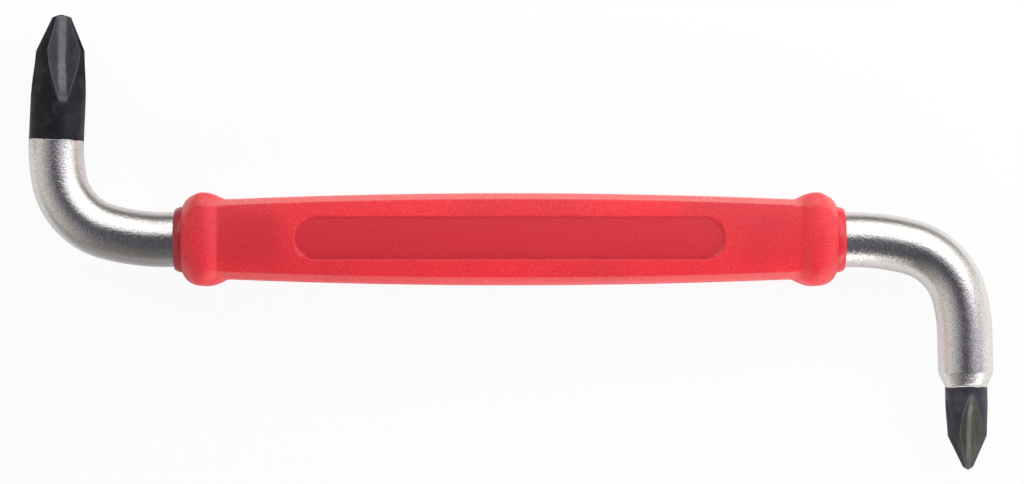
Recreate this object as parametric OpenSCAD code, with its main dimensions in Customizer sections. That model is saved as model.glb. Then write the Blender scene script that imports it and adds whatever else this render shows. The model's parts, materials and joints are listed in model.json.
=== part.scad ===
// Offset screwdriver: one round steel bar bent to a Z, with a cross point on
// each end, held in a keyed inner sleeve and a flanged plastic grip.
// The tool lies flat. X runs along the grip, Y lies in the plane of the bends
// and Z points up from the table. The origin is on the table under the grip.

/* [Bar] */
// diameter of the round bar
bar_d = 6; // [5:0.1:6.4]
// bare straight bar between each collar and its bend
bar_lead = 0.95; // [0.1:0.05:10]
// radius of the slow curve that leads into each bend
lead_r = 24.7; // [10:0.1:40]
// angle that the slow curve turns through
lead_angle = 15; // [5:0.5:20]
// radius of the tight middle of each bend
bend_r = 7.4; // [5:0.1:15]
// radius of the slow curve that leaves each bend
exit_r = 19.3; // [10:0.1:40]
// angle that the leaving curve turns through
exit_angle = 12.6; // [5:0.1:20]
// how much thinner the bar gets at each step into a bend
bend_neck = 0.03; // [0.02:0.01:0.1]
// whole angle of the bend at the large end
large_bend = 92.2; // [75:0.1:110]
// whole angle of the bend at the small end
small_bend = 88.9; // [75:0.1:110]

/* [Large point] */
// straight leg from the end of the bend to the nose
large_leg = 13.8; // [11:0.1:30]
// diameter of the flat nose
large_nose_d = 2.3; // [2:0.05:2.6]
// diameter across the flute roots at the nose
large_core_d = 1.4; // [1.2:0.05:1.5]
// width of the flat at the root of each flute
large_root_w = 0.9; // [0.5:0.05:0.95]
// turn of the flutes about the leg
large_turn = 17; // [0:1:89]
// slope of the blunt cone that ends the nose
large_nose_slope = 15; // [5:1:35]

/* [Small point] */
// full-width stub from the end of the bend to the step
small_stub = 4.05; // [2:0.05:20]
// length of the sloped step down to the blade
small_step = 1.65; // [0.5:0.05:4]
// diameter of the reduced blade
small_blade_d = 4.6; // [4.2:0.1:4.9]
// length of the blade from the step to the nose
small_blade = 9; // [8.6:0.1:30]
// diameter of the flat nose
small_nose_d = 1.2; // [1.1:0.05:1.5]
// diameter across the flute roots at the nose
small_core_d = 0.76; // [0.6:0.02:0.8]
// width of the flat at the root of each flute
small_root_w = 0.5; // [0.3:0.02:0.5]
// turn of the flutes about the leg
small_turn = 81; // [0:1:89]
// slope of the blunt cone that ends the nose
small_nose_slope = 30; // [5:1:35]

/* [Both points] */
// angle between opposite sides of the point
point_angle = 53; // [50:0.5:56]
// angle between the two walls of a flute
flute_angle = 92; // [88:0.5:94]
// slope of a flute's root against the leg
flute_slope = 5.75; // [4:0.25:7]
// slope of the root where a flute runs out of the blade
runout_slope = 23; // [18:0.5:28]
// radius of the curve between the two slopes
runout_r = 8; // [7.5:0.5:12]

/* [Grip] */
// length between the flat ends
grip_len = 71.4; // [64:0.1:110]
// height at the middle
grip_h = 9.85; // [9.6:0.05:14]
// height at the necks behind the flanges
neck_h = 8.6; // [8.5:0.05:9.2]
// height over the flanges
flange_h = 10.05; // [9.8:0.05:14]
// thickness at the middle
grip_t = 9.6; // [9.4:0.1:13]
// thickness at the necks
neck_t = 8.4; // [8.3:0.1:9]
// thickness over the flanges
flange_t = 9.8; // [9.6:0.1:13]
// length of each flange along the grip
flange_w = 4.8; // [4:0.1:7]
// radius of the rounded flange
flange_r = 1.9; // [1.2:0.05:1.95]
// slope from the neck up to the flange
flank_angle = 20; // [15:1:35]
// width cut from the grip's long edges
edge_leg = 0.95; // [0.5:0.05:1.2]
// width cut from the flange's edges
flange_edge_leg = 1.6; // [1:0.05:2]

/* [Panel] */
// length of the sunk panel, with its round ends
panel_len = 46.7; // [20:0.1:52]
// width of the sunk panel
panel_w = 4.75; // [2:0.05:5]
// depth of the panel below the face
panel_depth = 0.3; // [0.1:0.05:0.6]

/* [Sleeve and keys] */
// outside diameter of the inner sleeve and its collars
sleeve_d = 7.2; // [7:0.05:7.4]
// length of the collar that shows beyond the grip
collar_len = 0.85; // [0.5:0.05:4]
// diameter at the rounded end of the collar
collar_end_d = 6.6; // [6.5:0.05:6.8]
// length of the pressed ears that key the bar
ear_len = 12; // [4:0.5:30]
// width of an ear
ear_w = 1.4; // [0.8:0.1:3]
// distance from tip to tip across the two ears
ear_span = 8.2; // [7.6:0.1:8.4]
// room left between pieces that fit together
fit_gap = 0.02; // [0:0.01:0.05]

/* [Hidden] */
$fn = 96;

axis_z = flange_t / 2;
straight_half = grip_len / 2 + collar_len + bar_lead;
half_point = point_angle / 2;

// middle of each flange, and of its rounded corners
flange_x = grip_len / 2 - flange_w / 2;
corner_dx = flange_w / 2 - flange_r;
// where the neck meets the flange, and the steps that draw the barrel
neck_x = flange_x - flange_w / 2;
barrel_steps = 16;
// cutting tools reach past what they cut, and a flute's tool reaches clear of the bar
past = 1;
reach = bar_d;
slab_h = 4 * flange_h;
// how far the arcs of a bend run into each other
bend_lap = 0.1;
// how far the stretches of a flute run into each other, each a little shallower than the last
flute_lap = 0.1;
flute_step = 0.01;
// how far the flange's flank lies below its tangent, and its foot below the neck
flank_sink = 0.02;
foot_sink = 0.25;

chrome = [0.80, 0.80, 0.79];
black = [0.16, 0.16, 0.18];
red = [0.86, 0.22, 0.25];
collar_red = [0.78, 0.30, 0.34];

// distance from the axis to a face that cuts an edge between two others
function edge_dist(h, t, leg) = (h / 2 + t / 2 - leg) / sqrt(2);

// half height of the barrel at x: it falls as a parabola from mid to neck
function barrel_half(x, mid, neck) = mid - (mid - neck) * pow(x / neck_x, 2);

// length of the cone from a diameter down to the nose
function cone_len(d, nose_d) = (d - nose_d) / 2 / tan(half_point);

// height of the blunt cone on the nose
function cap_len(nose_d, nose_slope) = nose_d / 2 * tan(nose_slope);

module lift() {
    translate([0, 0, axis_z]) children();
}

// round bar along +X from the origin
module rod(d, len) {
    rotate([0, 90, 0]) cylinder(d = d, h = len);
}

// one arc of the bend, from heading +X, turning to -Y; it laps into both neighbours
module arc(r, a, d) {
    lap_angle = bend_lap / r * 180 / PI;
    translate([0, -r, 0])
        rotate_extrude(angle = a + 2 * lap_angle, start = 90 - a - lap_angle)
            translate([r, 0]) circle(d = d);
}

// moves its children to the end of such an arc
module after(r, a) {
    translate([r * sin(a), -r * (1 - cos(a)), 0]) rotate([0, 0, -a]) children();
}

// the three arcs of a bend, with its children at the end, along +X
module bend(whole) {
    middle = whole - lead_angle - exit_angle;
    slow_d = bar_d - bend_neck;
    arc(lead_r, lead_angle, slow_d);
    after(lead_r, lead_angle) {
        arc(bend_r, middle, slow_d - bend_neck);
        after(bend_r, middle) {
            arc(exit_r, exit_angle, slow_d);
            after(exit_r, exit_angle) children();
        }
    }
}

// moves its children to the end of a bend, without the bend itself
module bend_end(whole) {
    after(lead_r, lead_angle)
        after(bend_r, whole - lead_angle - exit_angle)
            after(exit_r, exit_angle) children();
}

// cut across a flute: a flat root at the origin, with its walls opening to -X
module flute_cut(root_w) {
    wide = root_w / 2 + reach * tan(flute_angle / 2);
    polygon([
        [0, -root_w / 2],
        [0, root_w / 2],
        [-reach, wide],
        [-reach, -wide]
    ]);
}

// one flute, cut from a nose at the origin of a leg along +Z: it follows the
// flute's slope, curves to the steeper slope and runs straight out of the blade
module flute(core_d, root_w, run) {
    straight = run / cos(flute_slope);
    swing = runout_slope - flute_slope;
    lap_angle = asin(flute_lap / runout_r);
    translate([core_d / 2, 0, 0]) rotate([0, 180 - flute_slope, 0]) {
        translate([0, 0, -past])
            linear_extrude(height = straight + past) flute_cut(root_w);
        translate([-runout_r, 0, straight])
            rotate([90, 0, 0]) {
                rotate([0, 0, -lap_angle])
                    rotate_extrude(angle = swing + lap_angle)
                        translate([runout_r - flute_step, 0]) flute_cut(root_w);
                rotate([0, 0, swing])
                    translate([runout_r - 2 * flute_step, -flute_lap, 0])
                        rotate([-90, 0, 0])
                            linear_extrude(height = reach + flute_lap) flute_cut(root_w);
            }
    }
}

// cross point on a blade of diameter d: len long, from the origin along +X
module cross_point(d, len, nose_d, nose_slope, core_d, root_w, turn) {
    rim = len - cap_len(nose_d, nose_slope);
    shoulder = rim - cone_len(d, nose_d);
    rotate([0, 90, 0])
        difference() {
            rotate_extrude()
                polygon([
                    [0, 0],
                    [d / 2, 0],
                    [d / 2, shoulder],
                    [nose_d / 2, rim],
                    [0, len]
                ]);
            for (quarter = [0 : 3])
                translate([0, 0, rim])
                    rotate([0, 0, 90 * quarter + turn])
                        flute(core_d, root_w, cone_len(d, nose_d));
        }
}

// stub and sloped step of the small end, from the origin along +X
module small_shank() {
    rod(bar_d, small_stub);
    translate([small_stub, 0, 0])
        rotate([0, 90, 0])
            cylinder(d1 = bar_d, d2 = small_blade_d, h = small_step);
}

// two flat ears pressed out of the bar, pointing to +Y and -Y
module ears(gap) {
    cube([ear_len + 2 * gap, ear_span + 2 * gap, ear_w + 2 * gap], center = true);
}

module bent_bar() {
    lift() {
        color(chrome) {
            translate([-straight_half, 0, 0]) rod(bar_d, 2 * straight_half);
            ears(0);
        }
        translate([straight_half, 0, 0]) {
            color(chrome) bend(small_bend) small_shank();
            color(black) bend_end(small_bend)
                translate([small_stub + small_step, 0, 0])
                    cross_point(small_blade_d, small_blade, small_nose_d, small_nose_slope,
                        small_core_d, small_root_w, small_turn);
        }
        rotate([0, 0, 180]) translate([straight_half, 0, 0]) {
            color(chrome) bend(large_bend);
            color(black) bend_end(large_bend)
                cross_point(bar_d, large_leg, large_nose_d, large_nose_slope,
                    large_core_d, large_root_w, large_turn);
        }
    }
}

// half of the sleeve's cut, beside the axis, up to the rounded collar end
module sleeve_half() {
    drop = (sleeve_d - collar_end_d) / 2;
    dome_r = (pow(collar_len, 2) + pow(drop, 2)) / (2 * drop);
    square([sleeve_d / 2, grip_len / 2]);
    translate([0, grip_len / 2])
        intersection() {
            square([sleeve_d / 2, collar_len]);
            translate([sleeve_d / 2 - dome_r, 0]) circle(r = dome_r);
        }
}

module inner_sleeve() {
    color(collar_red)
        lift()
            difference() {
                rotate([0, 90, 0])
                    rotate_extrude() {
                        sleeve_half();
                        mirror([0, 1]) sleeve_half();
                    }
                translate([-straight_half, 0, 0]) rod(bar_d + 2 * fit_gap, 2 * straight_half);
                ears(fit_gap);
            }
}

// barrel outline of the grip: mid and neck are half heights
module barrel(mid, neck) {
    step = 2 * flange_x / barrel_steps;
    xs = [for (i = [0 : barrel_steps]) i * step - flange_x];
    polygon(concat(
        [for (x = xs) [x, -barrel_half(x, mid, neck)]],
        [for (x = xs) [-x, barrel_half(x, mid, neck)]]
    ));
}

// rounded flange with its sloped flank, on the +X end
module flange(neck, crest) {
    slope_x = flange_x - corner_dx - (flange_r - flank_sink) * sin(flank_angle);
    slope_h = crest - flange_r + (flange_r - flank_sink) * cos(flank_angle);
    foot_h = neck - foot_sink;
    foot_x = slope_x - (slope_h - foot_h) / tan(flank_angle);
    translate([flange_x, 0]) {
        square([2 * corner_dx, 2 * crest], center = true);
        square([flange_w, 2 * (crest - flange_r)], center = true);
        for (sx = [-1, 1], sy = [-1, 1])
            translate([sx * corner_dx, sy * (crest - flange_r)]) circle(r = flange_r);
    }
    polygon([
        [foot_x, -foot_h],
        [slope_x, -slope_h],
        [flange_x, -slope_h],
        [flange_x, slope_h],
        [slope_x, slope_h],
        [foot_x, foot_h]
    ]);
}

// carries an outline straight through the grip, turned about its axis
module slab(turn) {
    rotate([turn, 0, 0]) linear_extrude(height = slab_h, center = true) children();
}

// barrel with flat faces and cut edges
module barrel_body() {
    edge_mid = edge_dist(grip_h, grip_t, edge_leg);
    edge_neck = edge_dist(neck_h, neck_t, edge_leg);
    intersection() {
        slab(0) barrel(grip_h / 2, neck_h / 2);
        slab(90) barrel(grip_t / 2, neck_t / 2);
        slab(45) barrel(edge_mid, edge_neck);
        slab(-45) barrel(edge_mid, edge_neck);
    }
}

// flange on the +X end, rounded along the grip and cut at its edges
module flange_body() {
    edge_neck = edge_dist(neck_h, neck_t, flange_edge_leg);
    edge_crest = edge_dist(flange_h, flange_t, flange_edge_leg);
    intersection() {
        slab(0) flange(neck_h / 2, flange_h / 2);
        slab(90) flange(neck_t / 2, flange_t / 2);
        slab(45) flange(edge_neck, edge_crest);
        slab(-45) flange(edge_neck, edge_crest);
    }
}

// sunk panel on the +Z face, with a floor that follows the barrel
module panel_cut() {
    run = panel_len - panel_w;
    difference() {
        linear_extrude(height = flange_t) {
            square([run, panel_w], center = true);
            for (side = [-1, 1])
                translate([side * run / 2, 0]) circle(d = panel_w);
        }
        rotate([90, 0, 0])
            linear_extrude(height = 2 * panel_w, center = true)
                barrel(grip_t / 2 - panel_depth, neck_t / 2 - panel_depth);
    }
}

module grip() {
    color(red)
        lift()
            difference() {
                union() {
                    barrel_body();
                    for (side = [0, 1])
                        mirror([side, 0, 0]) flange_body();
                }
                translate([-straight_half, 0, 0])
                    rod(sleeve_d + 2 * fit_gap, 2 * straight_half);
                ears(fit_gap);
                for (side = [0, 180])
                    rotate([side, 0, 0]) panel_cut();
            }
}

bent_bar();
inner_sleeve();
grip();
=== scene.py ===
"""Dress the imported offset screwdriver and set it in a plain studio.

The tool lies flat: X runs along the grip, Y lies in the plane of the bends and
Z points up from the table. Sizes inside the classes are millimetres; meshes are
written in metres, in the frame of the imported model.
"""

import json
import logging
from dataclasses import dataclass
from enum import Enum
from math import acos, cos, pi, radians, sin, tan

import bpy
import numpy as np
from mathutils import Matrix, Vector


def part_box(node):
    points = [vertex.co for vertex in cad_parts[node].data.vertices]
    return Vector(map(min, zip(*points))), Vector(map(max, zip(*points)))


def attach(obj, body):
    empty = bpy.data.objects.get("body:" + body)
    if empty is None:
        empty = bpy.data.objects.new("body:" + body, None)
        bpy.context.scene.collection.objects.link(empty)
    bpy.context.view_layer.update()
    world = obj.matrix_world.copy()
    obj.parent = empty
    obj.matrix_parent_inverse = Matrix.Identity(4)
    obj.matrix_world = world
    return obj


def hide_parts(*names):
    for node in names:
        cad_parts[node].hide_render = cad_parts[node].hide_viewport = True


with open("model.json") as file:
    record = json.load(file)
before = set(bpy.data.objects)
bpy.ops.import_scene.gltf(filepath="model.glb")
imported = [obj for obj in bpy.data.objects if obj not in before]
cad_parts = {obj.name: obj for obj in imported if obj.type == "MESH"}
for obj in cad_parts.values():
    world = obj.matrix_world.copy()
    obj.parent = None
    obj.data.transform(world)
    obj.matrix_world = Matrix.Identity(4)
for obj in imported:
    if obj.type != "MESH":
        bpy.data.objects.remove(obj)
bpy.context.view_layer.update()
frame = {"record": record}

LOG = logging.getLogger("offset_screwdriver")
MM = 0.001
BODY = "root"
# How far a black coat reaches up its leg, and the heights of the slow and quick waves of its edge.
COAT_REACH = 0.06
COAT_WAVES = (0.035, 0.022)

Array = np.ndarray
Colour = tuple[float, float, float, float]


class End(Enum):
    """The two ends of the bar, by the size of their cross point."""

    LARGE = "large"
    SMALL = "small"


class Slot(Enum):
    """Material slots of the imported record."""

    STEEL = "plated_steel"
    COLLAR = "collar_red"
    GRIP = "grip_red"


def srgb(red: int, green: int, blue: int) -> Colour:
    """Turn an 8-bit display colour into a linear colour with full alpha.

    Args:
        red: Red from 0 to 255.
        green: Green from 0 to 255.
        blue: Blue from 0 to 255.

    Returns:
        The linear colour that displays as these values.
    """
    part = np.array([red, green, blue]) / 255.0
    low = part / 12.92
    high = ((part + 0.055) / 1.055) ** 2.4
    linear = np.where(part <= 0.04045, low, high)
    return (*(float(v) for v in linear), 1.0)


def smooth_step(value: Array, low: float, high: float) -> Array:
    """Rise from 0 at low to 1 at high along 3t^2 - 2t^3, where t is the share of the way.

    Args:
        value: Numbers to map.
        low: Value that gives 0.
        high: Value that gives 1.

    Returns:
        The eased share of the way for each number.
    """
    share = np.clip((value - low) / (high - low), 0.0, 1.0)
    return share * share * (3.0 - 2.0 * share)


def soft_max(first: Array, second: Array, blend: float) -> Array:
    """Greater of two arrays with a rounded changeover: half of sum plus root of gap^2 + blend^2."""
    return 0.5 * (first + second + np.sqrt((first - second) ** 2 + blend**2))


def soft_min(first: Array, second: Array, blend: float) -> Array:
    """Lesser of two arrays with a rounded changeover, the mirror of soft_max."""
    return -soft_max(-first, -second, blend)


def coat_edge(side: Array, up: Array) -> Array:
    """Waver of a black coat's edge round its leg: a sum of two sines of the direction's parts.

    Args:
        side: Sideways part of the direction round the leg, from -1 to 1.
        up: Upward part of the same direction.

    Returns:
        How far the coat reaches up the leg, in millimetres.
    """
    slow = COAT_WAVES[0] * np.sin(4.0 * side + 1.5 * up + 0.6)
    quick = COAT_WAVES[1] * np.sin(9.0 * up - 6.0 * side)
    return COAT_REACH + slow + quick


def packed_mount(name: str) -> tuple[Array, Array]:
    """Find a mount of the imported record.

    Args:
        name: The mount's name.

    Returns:
        Its place in millimetres and its unit axis.
    """
    mounts = {m["name"]: m for m in frame["record"]["mounts"]}
    place = np.array(mounts[name]["pos_m"]) / MM
    axis = np.array(mounts[name]["axis"], float)
    return place, axis / np.linalg.norm(axis)


def packed_box(node: str) -> tuple[Array, Array]:
    """Give a node's lowest and highest corners in millimetres."""
    low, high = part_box(node)
    return np.array(low) / MM, np.array(high) / MM


@dataclass
class Skin:
    """A closed surface on a grid of points: rows along the piece, columns around it.

    Attributes:
        grid: Points in millimetres, shaped rows by columns by 3.
        ring: True where the last row joins the first; otherwise both ends close
            on a point at the middle of the end row.
        marks: Named values, one for each grid point, kept as mesh attributes.
    """

    grid: Array
    ring: bool
    marks: dict[str, Array]

    def quads(self) -> Array:
        """Join each row to the next and each column to the next, wrapping the columns.

        Returns:
            Vertex numbers, four to a face.
        """
        rows, cols = self.grid.shape[:2]
        index = np.arange(rows * cols).reshape(rows, cols)
        first = index if self.ring else index[:-1]
        second = np.roll(index, -1, axis=0) if self.ring else index[1:]
        corners = [first, np.roll(first, -1, 1), np.roll(second, -1, 1), second]
        return np.stack([c.ravel() for c in corners], axis=1)

    def caps(self) -> tuple[Array, Array]:
        """Fan both open ends to a point at the mean of the end row.

        Returns:
            The two middle points and the faces, three vertex numbers each.
        """
        rows, cols = self.grid.shape[:2]
        index = np.arange(rows * cols).reshape(rows, cols)
        middles = np.stack([self.grid[0].mean(0), self.grid[-1].mean(0)])
        start, end = rows * cols, rows * cols + 1
        near = [np.roll(index[0], -1), index[0], np.full(cols, start)]
        far = [index[-1], np.roll(index[-1], -1), np.full(cols, end)]
        return middles, np.concatenate([np.stack(near, 1), np.stack(far, 1)])

    def make(self, name: str, finish: bpy.types.Material, slot: Slot, *nodes: str) -> bpy.types.Object:
        """Write the surface as a mesh object that stands for CAD nodes.

        Args:
            name: The piece's name.
            finish: Its material.
            slot: The record's material slot that it belongs to; not used.
            *nodes: CAD nodes that it stands for.

        Returns:
            The finished object, riding on the part's body.
        """
        points = self.grid.reshape(-1, 3)
        quads = self.quads()
        fans = np.zeros((0, 3), int)
        if not self.ring:
            middles, fans = self.caps()
            points = np.concatenate([points, middles])
        a, b, c = points[quads[:, 0]], points[quads[:, 1]], points[quads[:, 2]]
        d = points[quads[:, 3]]
        volume = np.einsum("ij,ij->i", a, np.cross(b, c)).sum()
        volume += np.einsum("ij,ij->i", a, np.cross(c, d)).sum()
        if volume < 0:
            quads, fans = quads[:, ::-1], fans[:, ::-1]
        mesh = bpy.data.meshes.new(name)
        mesh.from_pydata((points * MM).tolist(), [], quads.tolist() + fans.tolist())
        for key, values in self.marks.items():
            flat = np.zeros(len(points), np.float32)
            flat[: values.size] = values.ravel()
            mesh.attributes.new(key, "FLOAT", "POINT").data.foreach_set("value", flat)
        mesh.polygons.foreach_set("use_smooth", np.ones(len(mesh.polygons), bool))
        mesh.materials.append(finish)
        mesh.update()
        piece = bpy.data.objects.new(name, mesh)
        bpy.context.scene.collection.objects.link(piece)
        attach(piece, BODY)
        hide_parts(*nodes)
        LOG.info("%s: %d faces, standing for %s", name, len(mesh.polygons), ", ".join(nodes))
        return piece


class Wiring:
    """A short way to add and link shader nodes in one tree."""

    def __init__(self, tree: bpy.types.NodeTree) -> None:
        """Keep the tree that the nodes go into."""
        self.tree = tree

    def add(self, kind: str, **settings: object) -> bpy.types.Node:
        """Add a node and set its properties.

        Args:
            kind: Blender's type name of the node.
            **settings: Properties of the node to set.

        Returns:
            The new node.
        """
        node = self.tree.nodes.new(kind)
        for key, value in settings.items():
            setattr(node, key, value)
        return node

    def feed(self, socket: bpy.types.NodeSocket, value: object) -> None:
        """Link an input to an output socket, or set it to a plain value."""
        if isinstance(value, bpy.types.NodeSocket):
            self.tree.links.new(value, socket)
        else:
            socket.default_value = value

    def put(self, node: bpy.types.Node, **values: object) -> bpy.types.Node:
        """Set or link input sockets by name, with underscores for spaces.

        Args:
            node: The node whose inputs are set.
            **values: A plain value, or an output socket to link.

        Returns:
            The same node.
        """
        for key, value in values.items():
            self.feed(node.inputs[key.replace("_", " ")], value)
        return node

    def math(self, operation: str, *values: object) -> bpy.types.NodeSocket:
        """Add a Math node.

        Args:
            operation: Its operation.
            *values: Plain numbers, or output sockets to link.

        Returns:
            Its result.
        """
        node = self.add("ShaderNodeMath", operation=operation)
        for socket, value in zip(node.inputs, values):
            self.feed(socket, value)
        return node.outputs[0]

    def mark(self, name: str) -> bpy.types.NodeSocket:
        """Read one of the mesh's named values."""
        return self.add("ShaderNodeAttribute", attribute_name=name).outputs["Fac"]

    def mix(self, share: object, first: object, second: object) -> bpy.types.NodeSocket:
        """Mix two colours.

        Args:
            share: Share of the second colour, or a socket that gives it.
            first: Colour at a share of 0, or a socket.
            second: Colour at a share of 1, or a socket.

        Returns:
            The mixed colour.
        """
        node = self.add("ShaderNodeMix", data_type="RGBA")
        for place, value in zip((0, 6, 7), (share, first, second)):
            self.feed(node.inputs[place], value)
        return node.outputs[2]

    def ramp(self, value: bpy.types.NodeSocket, low: float, high: float) -> bpy.types.NodeSocket:
        """Rise smoothly from 0 where the value is low to 1 where it is high.

        Args:
            value: The socket to read.
            low: Value that gives 0.
            high: Value that gives 1.

        Returns:
            The share.
        """
        node = self.add("ShaderNodeMapRange", interpolation_type="SMOOTHSTEP")
        return self.put(node, Value=value, From_Min=low, From_Max=high).outputs[0]

    def noise(self, scale: object, detail: float, **values: object) -> bpy.types.Node:
        """Add a noise texture on the piece's own coordinates, in metres.

        Args:
            scale: Its patches to a metre, or a socket that gives them.
            detail: How many finer layers it has.
            **values: Other inputs, such as a stretched Vector.

        Returns:
            The texture.
        """
        if "Vector" not in values:
            values["Vector"] = self.add("ShaderNodeTexCoord").outputs["Object"]
        return self.put(self.add("ShaderNodeTexNoise"), Scale=scale, Detail=detail, **values)


class Effects:
    """Shader groups that more than one finish uses."""

    def __init__(self) -> None:
        """Build the groups once."""
        self.grain = self._grain()
        self.wear_and_highlight = self._wear_and_highlight()

    @staticmethod
    def _group(name: str, sockets: dict[str, str]) -> tuple[Wiring, bpy.types.Node, bpy.types.Node]:
        """Start a group.

        Args:
            name: The group's name.
            sockets: Socket names, each with INPUT or OUTPUT.

        Returns:
            The group's wiring, its input node and its output node.
        """
        tree = bpy.data.node_groups.new(name, "ShaderNodeTree")
        for label, way in sockets.items():
            tree.interface.new_socket(label, in_out=way, socket_type="NodeSocketFloat")
        wires = Wiring(tree)
        return wires, wires.add("NodeGroupInput"), wires.add("NodeGroupOutput")

    def _grain(self) -> bpy.types.NodeTree:
        """Two noises of the surface: a fine one of a given scale and a broad one at a share of it.

        Returns:
            The group, with a height for bumps, the same sharpened into specks, and a slow patch value.
        """
        sockets = {"Scale": "INPUT", "Broad Share": "INPUT"}
        sockets |= {"Height": "OUTPUT", "Speck": "OUTPUT", "Patch": "OUTPUT"}
        wires, given, out = self._group("fine_grain", sockets)
        fine = wires.noise(given.outputs["Scale"], 3.0, Roughness=0.6)
        broad_scale = wires.math("MULTIPLY", given.outputs["Scale"], given.outputs["Broad Share"])
        broad = wires.noise(broad_scale, 2.0)
        speck = wires.ramp(fine.outputs[0], 0.34, 0.66)
        wires.put(out, Height=fine.outputs[0], Speck=speck, Patch=broad.outputs[0])
        return wires.tree

    def _wear_and_highlight(self) -> bpy.types.NodeTree:
        """Pale edges, worn and painted with a highlight: the mesh's wear_and_highlight value, broken up by
        a noise.

        Returns:
            The group, with a mask from 0 to 1.
        """
        wires, given, out = self._group(
            "edge_wear_and_highlight", {"Amount": "INPUT", "Scale": "INPUT", "Mask": "OUTPUT"}
        )
        edge = wires.mark("wear_and_highlight")
        patch = wires.noise(given.outputs["Scale"], 4.0).outputs[0]
        broken = wires.math("MULTIPLY", edge, wires.math("ADD", patch, 0.25))
        scaled = wires.math("MULTIPLY", broken, given.outputs["Amount"])
        wires.put(out, Mask=wires.math("MINIMUM", scaled, 1.0))
        return wires.tree


@dataclass(frozen=True)
class Finish:
    """What all finishes share: a name, a tone, a gloss and a grain.

    Attributes:
        name: The material's name.
        tone: Its main colour.
        roughness: How dull it is.
        grain_scale: Grains to a metre.
        grain_depth: Depth of the grain in metres.
        grain_gloss: How much the slow patches change the roughness.
        patch_share: Scale of the slow patches, as a share of the grain's.
    """

    name: str
    tone: Colour
    roughness: float
    grain_scale: float
    grain_depth: float
    grain_gloss: float = 0.05
    patch_share: float = 0.12

    def start(self, effects: Effects) -> tuple[Wiring, bpy.types.Node, bpy.types.Node]:
        """Make the material, with its grain on the bump and the roughness.

        Args:
            effects: The shared shader groups.

        Returns:
            The material's wiring, its Principled BSDF and its grain group.
        """
        material = bpy.data.materials.new(self.name)
        material.use_nodes = True
        material.diffuse_color = self.tone
        wires = Wiring(material.node_tree)
        shader = material.node_tree.nodes["Principled BSDF"]
        grain = wires.add("ShaderNodeGroup", node_tree=effects.grain)
        wires.put(grain, Scale=self.grain_scale, Broad_Share=self.patch_share)
        bump = wires.add("ShaderNodeBump")
        height = self.relief(wires, grain.outputs["Height"])
        wires.put(bump, Height=height, Distance=self.grain_depth, Strength=1.0)
        swing = wires.math("SUBTRACT", grain.outputs["Patch"], 0.5)
        swing = wires.math("MULTIPLY", swing, 2.0 * self.grain_gloss)
        rough = wires.math("ADD", swing, self.roughness)
        wires.put(shader, Normal=bump.outputs[0], Roughness=rough)
        return wires, shader, grain

    def relief(self, wires: Wiring, height: bpy.types.NodeSocket) -> bpy.types.NodeSocket:
        """Height of the grain, the same all over unless a finish changes it."""
        return height

    @property
    def material(self) -> bpy.types.Material:
        """The material that start made."""
        return bpy.data.materials[self.name]


@dataclass(frozen=True)
class PlatedSteel(Finish):
    """Satin nickel plate on the bar.

    Attributes:
        pale: Colour of the brightest specks, on the grain's tops: painted glints.
        cloud: Colour of the slightly duller patches.
        cloud_share: How far they take that colour.
    """

    pale: Colour = srgb(250, 248, 244)
    cloud: Colour = srgb(222, 218, 212)
    cloud_share: float = 0.5

    def build(self, effects: Effects) -> bpy.types.Material:
        """Make the plated metal, speckled with painted glints on the grain and clouded by the slow
        patches.

        Args:
            effects: The shared shader groups.

        Returns:
            The material.
        """
        wires, shader, grain = self.start(effects)
        # Paler specks where the grain rises: painted glints.
        specks = wires.mix(grain.outputs["Speck"], self.tone, self.pale)
        patch = wires.math("MULTIPLY", grain.outputs["Patch"], self.cloud_share)
        wires.put(shader, Base_Color=wires.mix(patch, specks, self.cloud), Metallic=1.0)
        return self.material


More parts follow.
